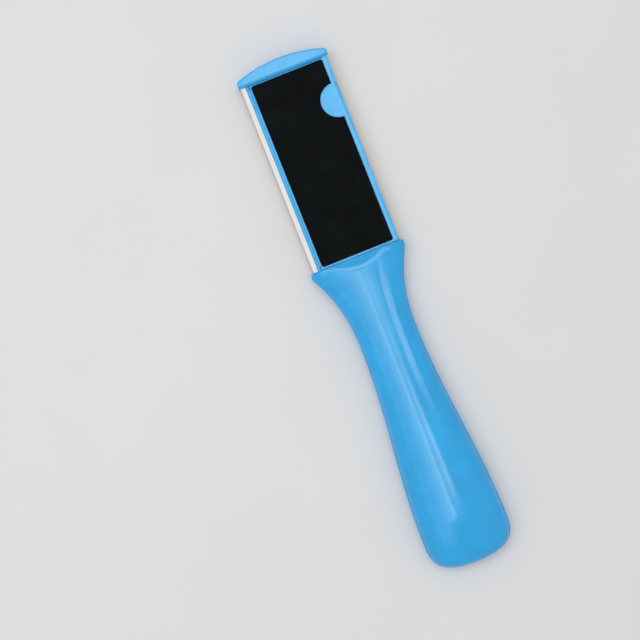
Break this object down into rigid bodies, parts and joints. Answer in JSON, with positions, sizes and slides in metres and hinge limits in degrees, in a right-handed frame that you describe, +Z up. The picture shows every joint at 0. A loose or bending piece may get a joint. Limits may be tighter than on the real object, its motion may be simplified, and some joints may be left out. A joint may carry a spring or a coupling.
{
  "type": "double-sided foot file",
  "caption": "Long-handled foot file with a perforated steel rasp on one side and a hinged abrasive-faced dust cover with a half-moon thumb tab on the other.",
  "frame": {"origin": "centre of the bounding box in plan, on the surface that the file lies on with its rasp side down", "axes": "+X along the file towards the end cap, +Y towards the hinged long edge of the back cover, +Z up out of the abrasive face"},
  "size_m": [0.246, 0.0454, 0.018],
  "materials": {
    "blue_plastic": "glossy moulded plastic",
    "cover_plastic": "glossy moulded plastic",
    "rasp_steel": "satin stainless sheet",
    "pin_steel": "drawn wire",
    "emery": "black abrasive grit on backing",
    "film": "adhesive film"
  },
  "bodies": {
    "file_body": {"handle_front_shell": "blue_plastic", "handle_back_shell": "blue_plastic", "head_frame": "blue_plastic", "end_cap": "cover_plastic", "rasp_plate": "rasp_steel", "front_hinge_pin": "pin_steel", "rear_hinge_pin": "pin_steel"},
    "cover": {"back_cover": "cover_plastic", "adhesive_film": "film", "emery_sheet": "emery"}
  },
  "joints": [
    {"name": "cover_hinge", "type": "hinge", "parent": "file_body", "child": "cover", "pos_m": [0.07105, 0.0179, 0.01015], "axis": [-1, 0, 0], "range_deg": [0, 125]}
  ]
}
